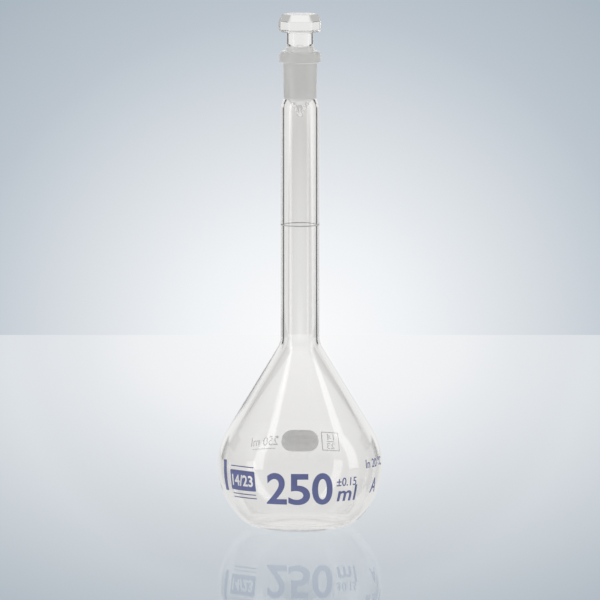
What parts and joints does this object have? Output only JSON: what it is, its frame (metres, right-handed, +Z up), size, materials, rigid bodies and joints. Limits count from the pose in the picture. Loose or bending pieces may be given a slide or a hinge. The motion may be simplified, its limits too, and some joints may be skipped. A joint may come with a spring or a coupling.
{
  "type": "volumetric flask",
  "caption": "Clear glass volumetric flask: pear-shaped bulb, long neck with a capacity ring, ground socket under a collar, and a ground glass stopper with a six-sided head.",
  "frame": {"origin": "centre of the base ring, on the surface that the flask stands on", "axes": "+Z up the neck, -Y towards the printed front"},
  "size_m": [0.08, 0.0802, 0.2498],
  "materials": {
    "clear_glass": "clear borosilicate glass, ground to a fine matt on the joint",
    "ring_enamel": "thin fired line",
    "blue_enamel": "fired blue enamel print, slightly glossy",
    "grey_enamel": "fired grey-white enamel, matt, takes pencil"
  },
  "bodies": {
    "flask": {"flask_body": "clear_glass", "ring_mark": "ring_enamel", "capacity_numerals": "blue_enamel", "unit_letters": "blue_enamel", "tolerance_print": "blue_enamel", "temperature_print": "blue_enamel", "class_letter": "blue_enamel", "joint_size_badge": "blue_enamel", "side_bar": "blue_enamel", "marking_field": "grey_enamel", "back_capacity_print": "grey_enamel", "back_joint_size_print": "grey_enamel"},
    "stopper": {"stopper": "clear_glass"}
  },
  "joints": [
    {"name": "stopper_lift", "type": "slide", "parent": "flask", "child": "stopper", "axis": [0, 0, 1], "range_m": [0, 0.06]}
  ]
}
